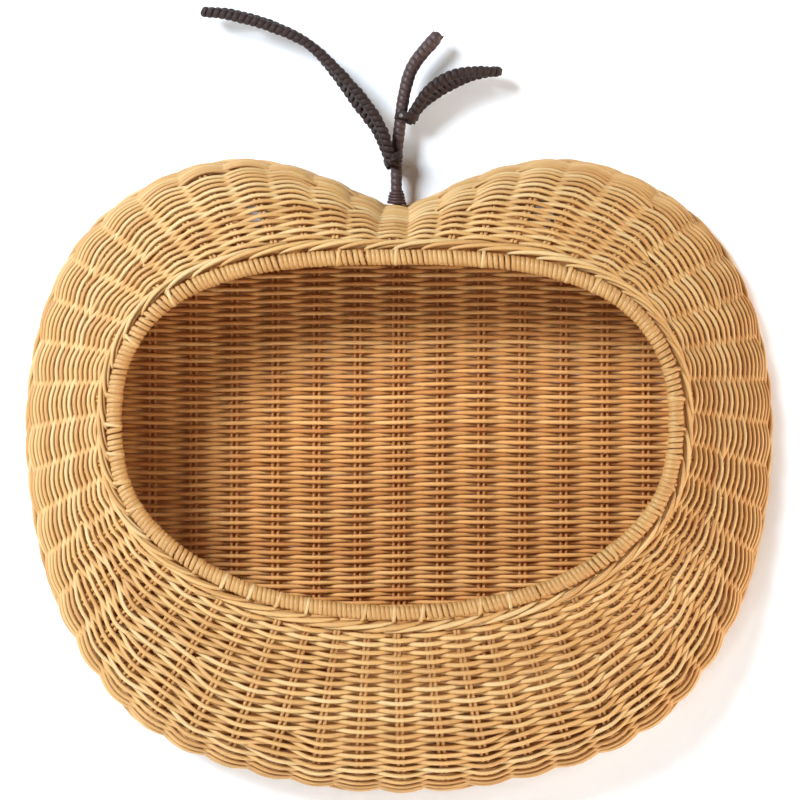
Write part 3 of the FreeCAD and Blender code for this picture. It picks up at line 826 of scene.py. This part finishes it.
def rim_wraps():
    """Glossy turns of cane round the hoop, in groups with a small gap at each stake pair."""
    steps = 14
    whole = mouth_frame(np.zeros(1))[2]
    spacing = whole / WALL_PAIRS
    marks = []
    for k in range(WALL_PAIRS):
        turns = RIM_TURNS + int(RANDOM.random() < 0.7)
        begin = k * spacing + RANDOM.uniform(-0.6, 0.6) * MM
        for i in range(turns):
            uneven = RANDOM.uniform(-0.09, 0.09) if i else 0.0
            marks.append(begin + RIM_GAP + (spacing - RIM_GAP) * (i + uneven) / turns)
    marks.append(marks[0] + whole)
    t = np.arange((len(marks) - 1) * steps) / steps
    centre, out, _ = mouth_frame(np.interp(t, np.arange(len(marks)), marks))
    angle = 2 * math.pi * t
    spoke = out * np.cos(angle)[:, None] + AWAY * np.sin(angle)[:, None]
    proud = RANDOM.uniform(-0.22, 0.12, len(marks))
    proud[-1] = proud[0]
    lift = np.interp(t, np.arange(len(marks)), proud)[:, None] * MM
    path = centre + spoke * (WRAP_RADIUS - RIM_WRAP_THICK + lift)
    cane = Cane(7)
    cane.lay(path, spoke, RIM_WRAP_THICK, RIM_WRAP_WIDE, closed=True)
    cane.piece("rim_wraps", CANE_RIM, "natural_cane", "rim_wrapping")


def rim_ties():
    """Short slanting lengths of cane that bind the hoop's wrapping to the plaited border."""
    cane = Cane(7)
    spacing = mouth_frame(np.zeros(1))[2] / WALL_PAIRS
    section = np.array(TIE_SECTION) * MM
    out_line, front_line, along_line = through(section, 22)[0].T
    for k in range(WALL_PAIRS):
        if RANDOM.random() > TIES_LEFT:
            continue
        length = (k + TIE_START) * spacing + along_line * RANDOM.uniform(0.2, 1.2)
        centre, out, _ = mouth_frame(length)
        path = centre + out * out_line[:, None] + AWAY * front_line[:, None]
        spoke = path - centre
        cane.lay(path, spoke, TIE_RADIUS * 0.8, TIE_RADIUS * RANDOM.uniform(1.0, 1.25))
    cane.piece("rim_ties", CANE_RIM, "natural_cane", "rim_wrapping")


def border_frame(a):
    """Centre of the plaited border, and its directions along, towards the mouth and outwards."""
    place = guide_place(a)
    point, normal = on_wall(place, np.ones_like(place), 0.0)
    below, _ = on_wall(place, np.full_like(place, 0.97), 0.0)
    towards = unit(point - below)
    centre = on_closed(BORDER_POLES, place)
    return centre, towards, normal


def rim_border():
    """Each stake pair turns along the rim: one end runs over the next pairs, one lies below it."""
    cane = Cane(8)
    p = np.linspace(0, 1, 26)
    for k in range(WALL_PAIRS):
        for begin, reach, start, end, low, rise, radius in BORDER_STRANDS:
            a = k + begin + p * (reach + RANDOM.uniform(-0.12, 0.12))
            centre, towards, normal = border_frame(a)
            sideways = (start + (end - start) * p + RANDOM.uniform(-0.3, 0.3)) * MM
            height = (low + rise * np.sin(math.pi * p ** 0.85) ** 0.75) * MM
            path = centre + towards * sideways[:, None] + normal * height[:, None]
            thick = radius * MM * (1 - 0.3 * np.abs(2 * p - 1) ** 4)
            cane.lay(path, normal, thick * RANDOM.uniform(0.93, 1.04))
    cane.piece("rim_border_strands", CANE, "natural_cane", "rim_border")


# ---------------------------------------------------------------- stem and leaves
# Lines of points are x, distance from the wall and z in millimetres. A leaf has its front edge, its
# tip and its back edge, each from the stem outwards.
STEM_LINE = ((-2, 18, 257), (0.5, 18.5, 283), (4.5, 19.5, 311), (12, 20, 333.5), (31.5, 20, 357.5))
LEAVES = {
    "left": (
        ((-6.4, 26.6, 253), (-14, 32, 281), (-34.5, 35, 310.5), (-71.5, 35, 347),
         (-108.5, 33, 364), (-140.5, 28.5, 373), (-153.5, 25, 375)),
        (-158, 20, 376.5),
        ((-6.4, 9.4, 253), (-17, 7, 279.5), (-36, 6.5, 305.5), (-68, 6.5, 347.5),
         (-104, 7.5, 367.5), (-136.5, 11.5, 376), (-151.5, 15.5, 377)),
    ),
    "right": (
        ((7.8, 21.5, 288.5), (15.5, 27.5, 300.5), (24, 31.5, 311.5), (36, 34, 320.5),
         (48.5, 34, 325), (64, 31, 327), (75, 26, 327)),
        (80, 20, 328),
        ((7.8, 15.6, 288.5), (18.3, 11, 302), (32.2, 9, 312.5), (46.2, 8.5, 320.5),
         (60.3, 9, 326), (73.3, 13, 328.5)),
    ),
}
# Lashings: middle of the lower end, half sizes of the oval section, lean to the right in degrees.
LASHINGS = {
    "left": ((-3.6, 18.0, 254.0), (8.4, 14.4), -16),
    "right": ((5.4, 18.8, 288.0), (9.9, 10.8), 14),
}
STEM_RADIUS = 4.7 * MM
STEM_TIP_RADIUS = 5.9 * MM
STEM_TURN = 5.2 * MM             # how far apart the turns of dark cane are
STEM_TURN_THICK = 0.75 * MM
COLLAR_TURN = 2.4 * MM
LEAF_TURN = 5.3 * MM
LEAF_EDGE_RADIUS = 4.4 * MM
LASHING_HEIGHT = 8.0 * MM
LASHING_TURNS = 3
LASHING_LAYERS = ((1.6, 1.8), (1.3, -1.08))  # half thickness of the cane and its slant, outer first
LASHING_WIDE = 1.4 * MM
WEB_START = 0.08                 # the web fills a leaf between these shares of its length
WEB_END = 0.86
WEB_SLANT = 5 * MM
WEB_RISE = 2.4 * MM              # how far the turns part where they pass round the edges
WEB_THICK = 1.05 * MM
WEB_WIDE = 1.9 * MM
COLLAR_LOW, _, COLLAR_SIZE = spans("stem_collar")


def from_wall(rows):
    """Points from x, distance from the wall and z in millimetres."""
    rows = np.array(rows, float)
    return np.stack([rows[:, 0], -rows[:, 1], rows[:, 2]], 1) * MM


def through(points, count):
    """Evenly spaced points of a smooth curve through a line of points."""
    ends = np.vstack([2 * points[0] - points[1], points, 2 * points[-1] - points[-2]])
    t = np.linspace(0, 1, 24, endpoint=False)[:, None]
    parts = [smooth_between(ends[i:i + 4], t) for i in range(len(points) - 1)]
    line = np.vstack(parts + [points[-1:]])
    length = lengths_along(line)
    wanted = np.linspace(0, length[-1], count)
    return np.stack([np.interp(wanted, length, line[:, k]) for k in range(3)], 1), length[-1]


def coil(cane, points, radius, pitch, thick, wide, uneven=0.0, steps=14):
    """Close turns of flat cane round a line of points; radius may change along it."""
    _, length = through(points, 10)
    turns = max(2, round(length / pitch))
    count = turns * steps + 1
    line, _ = through(points, count)
    along = unit(np.gradient(line, axis=0))
    side = unit(np.cross(along, AWAY))
    front = np.cross(side, along)
    angle = 2 * math.pi * np.arange(count) / steps
    spoke = side * np.cos(angle)[:, None] + front * np.sin(angle)[:, None]
    share = np.linspace(0, 1, count)
    radii = np.interp(share, np.linspace(0, 1, len(radius)), radius)
    lumps = RANDOM.uniform(-1, 1, turns + 1)
    radii *= 1 + uneven * np.interp(share * turns, np.arange(turns + 1), lumps)
    cane.lay(line + spoke * (radii - thick)[:, None], spoke, thick, wide)


def stem_foot():
    """Where the stem stands in the dimple: the middle of the collar's lower end."""
    foot = from_wall(STEM_LINE[:1])[0]
    foot[2] = COLLAR_LOW[2] + 0.5 * MM
    return foot


def stem():
    """Turns of dark cane up the stem, over a plain core with a rounded tip."""
    points = np.vstack([stem_foot(), from_wall(STEM_LINE)])
    body = STEM_RADIUS + (STEM_TIP_RADIUS - STEM_RADIUS) * np.linspace(0, 1, 40) ** 2
    body = np.append(body, STEM_TIP_RADIUS * 0.8)
    cane = Cane(8)
    coil(cane, points, body, STEM_TURN, STEM_TURN_THICK, 0.56 * STEM_TURN, uneven=0.03, steps=20)
    line, _ = through(points, 60)
    core = np.interp(np.linspace(0, 1, 60), np.linspace(0, 1, len(body)), body)
    core -= 1.2 * STEM_TURN_THICK
    angle = np.linspace(0, math.pi / 2, 8)[1:]
    rounded = line[-1] + unit(line[-1] - line[-2]) * np.sin(angle)[:, None] * STEM_TIP_RADIUS * 0.4
    narrowing = core[-1] * np.maximum(np.cos(angle), 0.05)
    cane.lay(np.vstack([line, rounded]), AWAY, np.concatenate([core, narrowing]))
    cane.piece("stem_wraps", DARK_STEM_LIT, "dark_cane", "stem_wrapping", "stem_core")


def stem_collar():
    """Thicker turns that flare out where the stem stands on the basket, two layers deep."""
    foot = stem_foot()
    top = foot + np.array([0, 0, COLLAR_SIZE[2]])
    points = np.array([foot, (foot + top) / 2, top])
    wide = COLLAR_SIZE[0] / 2
    flare = np.array([wide, wide * 0.86, STEM_RADIUS * 1.45, STEM_RADIUS * 1.2])
    collar = Cane(8)
    coil(collar, points, flare, COLLAR_TURN, 1.4 * MM, 1.35 * MM)
    coil(collar, points, flare - 1.8 * MM, COLLAR_TURN, 1.2 * MM, 1.35 * MM)
    collar.piece("stem_collar_wraps", DARK_STEM_LIT, "dark_cane", "stem_collar")


def leaf_edge(side):
    """Thick turns of dark cane along a leaf's bent wire."""
    front, tip, back = LEAVES[side]
    loop = from_wall(front + (tip,) + back[::-1])
    edge = Cane(8)
    radius = [LEAF_EDGE_RADIUS] * 3
    coil(edge, loop, radius, LEAF_TURN, 1.5 * MM, 0.53 * LEAF_TURN, uneven=0.07)
    line, _ = through(loop, 120)
    edge.lay(line, np.array([0.3, 0.2, 1.0]), LEAF_EDGE_RADIUS - 1.7 * MM)
    leaf = "leaf_" + side
    edge.piece(leaf + "_edge_wraps", DARK_LEAF_SHADED, "dark_cane", leaf + "_wrapping", leaf + "_wire")


def leaf_web(side):
    """Slanting turns of dark cane that cross from one edge of a leaf to the other."""
    front, _, back = LEAVES[side]
    count = 200
    a, length = through(from_wall(front), count)
    b, _ = through(from_wall(back), count)
    turns = round(length * (WEB_END - WEB_START) / LEAF_TURN)
    web = Cane(8)
    t = np.linspace(0.04, 0.96, 12)[:, None]
    for i in range(turns):
        at = int((WEB_START + (WEB_END - WEB_START) * i / turns) * (count - 1))
        ahead = min(at + int(WEB_SLANT / length * count), count - 1)
        for begin, end, sign in ((at, ahead, 1), (ahead, at, -1)):
            across = b[end] - a[begin]
            along = unit(a[min(at + 1, count - 1)] - a[at - 1])
            normal = unit(np.cross(across, along))
            path = a[begin] + across * t + normal * sign * WEB_RISE * np.cos(math.pi * t) ** 2
            web.lay(path, normal, WEB_THICK, WEB_WIDE)
    node = "leaf_" + side + "_web"
    web.piece(node + "_wraps", DARK_LEAF_SHADED, "dark_cane", node)


def lashing(side):
    """Slanting turns of cane that tie a leaf's two ends to the stem."""
    (x, depth, z), (half_x, half_y), degrees = LASHINGS[side]
    lean = math.radians(degrees)
    axis = np.array([math.sin(lean), 0, math.cos(lean)])
    wide = np.array([math.cos(lean), 0, -math.sin(lean)])
    cane = Cane(8)
    angle = np.linspace(0, 2 * math.pi * LASHING_TURNS, LASHING_TURNS * 40 + 1)
    for half, slant in LASHING_LAYERS:
        thick = half * MM
        rise = np.linspace(0, 1, len(angle)) * (LASHING_HEIGHT - 2 * thick) + thick
        rise = rise + slant * MM * np.cos(angle)
        inset = thick if slant > 0 else 2.2 * thick
        spoke = wide * np.cos(angle)[:, None] * (half_x * MM - inset)
        spoke = spoke + AWAY * np.sin(angle)[:, None] * (half_y * MM - inset)
        path = np.array([x, -depth, z]) * MM + spoke + axis * rise[:, None]
        cane.lay(path, spoke, thick, LASHING_WIDE)
    node = "leaf_" + side + "_lashing"
    cane.piece(node + "_wraps", DARK_LEAF_SHADED, "dark_cane", node)


def eyelet(node):
    """Steel ring with rounded lips, for the hook that carries the basket."""
    low, high, size = spans(node)
    thick = (size[0] / 2 - EYELET_HOLE) / 2
    around = np.linspace(0, 2 * math.pi, 96, endpoint=False)
    radial = np.stack([np.cos(around), 0 * around, np.sin(around)], 1)
    middle = (low + high) / 2 + radial * (EYELET_HOLE + thick)
    ring = Cane(20)
    ring.lay(middle, radial, thick, size[1] / 2, closed=True)
    ring.piece(node + "_ring", SHADED_STEEL, "steel_wire", node)


def finish_cad_nodes():
    """Procedural materials for the CAD nodes that stay."""
    for name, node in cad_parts.items():
        if node.hide_render:
            continue
        material = {"leaf_pin": BRASS, "back_stakes": BACK_STAKES_SHADED}.get(name, CANE_STAKES)
        for slot in node.material_slots:
            slot.material = material


# ---------------------------------------------------------------- stage, light and camera
GLOW = 0.24                      # painted light: the paint glows faintly, so the basket's cast shadow beside it is pale
GLOW_FROM = (1.6, 0, 1.9)        # scales an oval round the basket to a radius of about a half
GLOW_STARTS = 0.48
GLOW_FULL = 0.52


def stage_material(name, see_through_back):
    """Pale matt paint with painted light: it glows faintly outside the basket's outline, which keeps
    the basket's cast shadow there pale.
    """
    material, shader = new_material(name)
    n = Nodes(material)
    place = n.make("TexCoord").outputs["Object"]
    grain = n.noise(place, 90.0)
    paint = n.ramp(grain, ((0.3, (0.86, 0.86, 0.855)), (0.7, (0.9, 0.9, 0.895))))
    n.link(paint, shader.inputs["Base Color"])
    shader.inputs["Roughness"].default_value = 0.9
    # Painted light: emission outside an oval round the basket lifts its cast shadow on the wall.
    reach = n.make("VectorMath", operation="LENGTH")
    n.link(n.stretched(place, GLOW_FROM), reach.inputs[0])
    painted_light_mask = n.ramp(reach.outputs["Value"], ((GLOW_STARTS, (0, 0, 0)), (GLOW_FULL, (1, 1, 1))))
    n.link(n.math("MULTIPLY", painted_light_mask, GLOW), shader.inputs["Emission Strength"])
    shader.inputs["Emission Color"].default_value = (0.93, 0.97, 1, 1)
    if see_through_back:
        output = next(node for node in material.node_tree.nodes if node.type == "OUTPUT_MATERIAL")
        mix = n.make("MixShader")
        n.link(n.make("NewGeometry").outputs["Backfacing"], mix.inputs[0])
        n.link(shader.outputs[0], mix.inputs[1])
        n.link(n.make("BsdfTransparent").outputs[0], mix.inputs[2])
        n.link(mix.outputs[0], output.inputs["Surface"])
    return material


def sheet(name, corners, material):
    mesh = bpy.data.meshes.new(name)
    mesh.from_pydata(corners, [], [(0, 1, 2, 3)])
    mesh.materials.append(material)
    thing = bpy.data.objects.new(name, mesh)
    bpy.context.scene.collection.objects.link(thing)
    return thing


def stage():
    """White wall behind the basket, seen through from behind, and a pale floor well below."""
    far = 6.0
    low = -1.0
    y = 0.6 * MM
    upright = [(-far, y, low), (far, y, low), (far, y, far), (-far, y, far)]
    wall = sheet("stage_wall", upright, stage_material("stage_wall_paint", True))
    wall.visible_shadow = False
    level = [(-far, -far, low), (far, -far, low), (far, far, low), (-far, far, low)]
    sheet("stage_floor", level, stage_material("stage_floor_paint", False))


def area_light(name, place, target, size, power, colour=(1, 1, 1)):
    light = bpy.data.lights.new(name, "AREA")
    light.shape = "DISK"
    light.size = size
    light.energy = power
    light.color = colour
    thing = bpy.data.objects.new(name, light)
    thing.location = place
    thing.rotation_euler = (Vector(target) - Vector(place)).to_track_quat("-Z", "Y").to_euler()
    bpy.context.scene.collection.objects.link(thing)


COOL = (0.88, 1.0, 1.14)
WARM = (1.0, 0.77, 0.57)
WORLD = (1.0, 0.70, 0.50)


def lights():
    area_light("key", (-1.45, -1.9, 1.2), (0, 0, 0.05), 1.0, 96, COOL)
    area_light("fill", (2.85, -0.62, -0.15), (0, 0, 0), 1.3, 54, WARM)
    area_light("behind", (0.8, 2.2, 1.2), (0, 0, 0.05), 1.6, 30, WARM)
    world = bpy.data.worlds.new("studio")
    world.use_nodes = True
    world.node_tree.nodes["Background"].inputs["Color"].default_value = (*WORLD, 1)
    world.node_tree.nodes["Background"].inputs["Strength"].default_value = 0.065
    bpy.context.scene.world = world


def camera():
    """Straight on to the wall, two metres away, at about the height of the object's middle."""
    data = bpy.data.cameras.new("camera")
    data.sensor_width = 36
    data.lens = 110
    thing = bpy.data.objects.new("camera", data)
    thing.location = (0.8 * MM, -2.0, 62 * MM)
    thing.rotation_euler = (math.pi / 2, 0, 0)
    bpy.context.scene.collection.objects.link(thing)
    bpy.context.scene.camera = thing


wall_weave()
back_panel()
back_border()
rim_wraps()
rim_ties()
rim_border()
stem()
stem_collar()
for side in LEAVES:
    leaf_edge(side)
    leaf_web(side)
    lashing(side)
for node in EYELETS:
    eyelet(node)
finish_cad_nodes()
stage()
lights()
camera()
bpy.context.scene.view_settings.view_transform = "Standard"
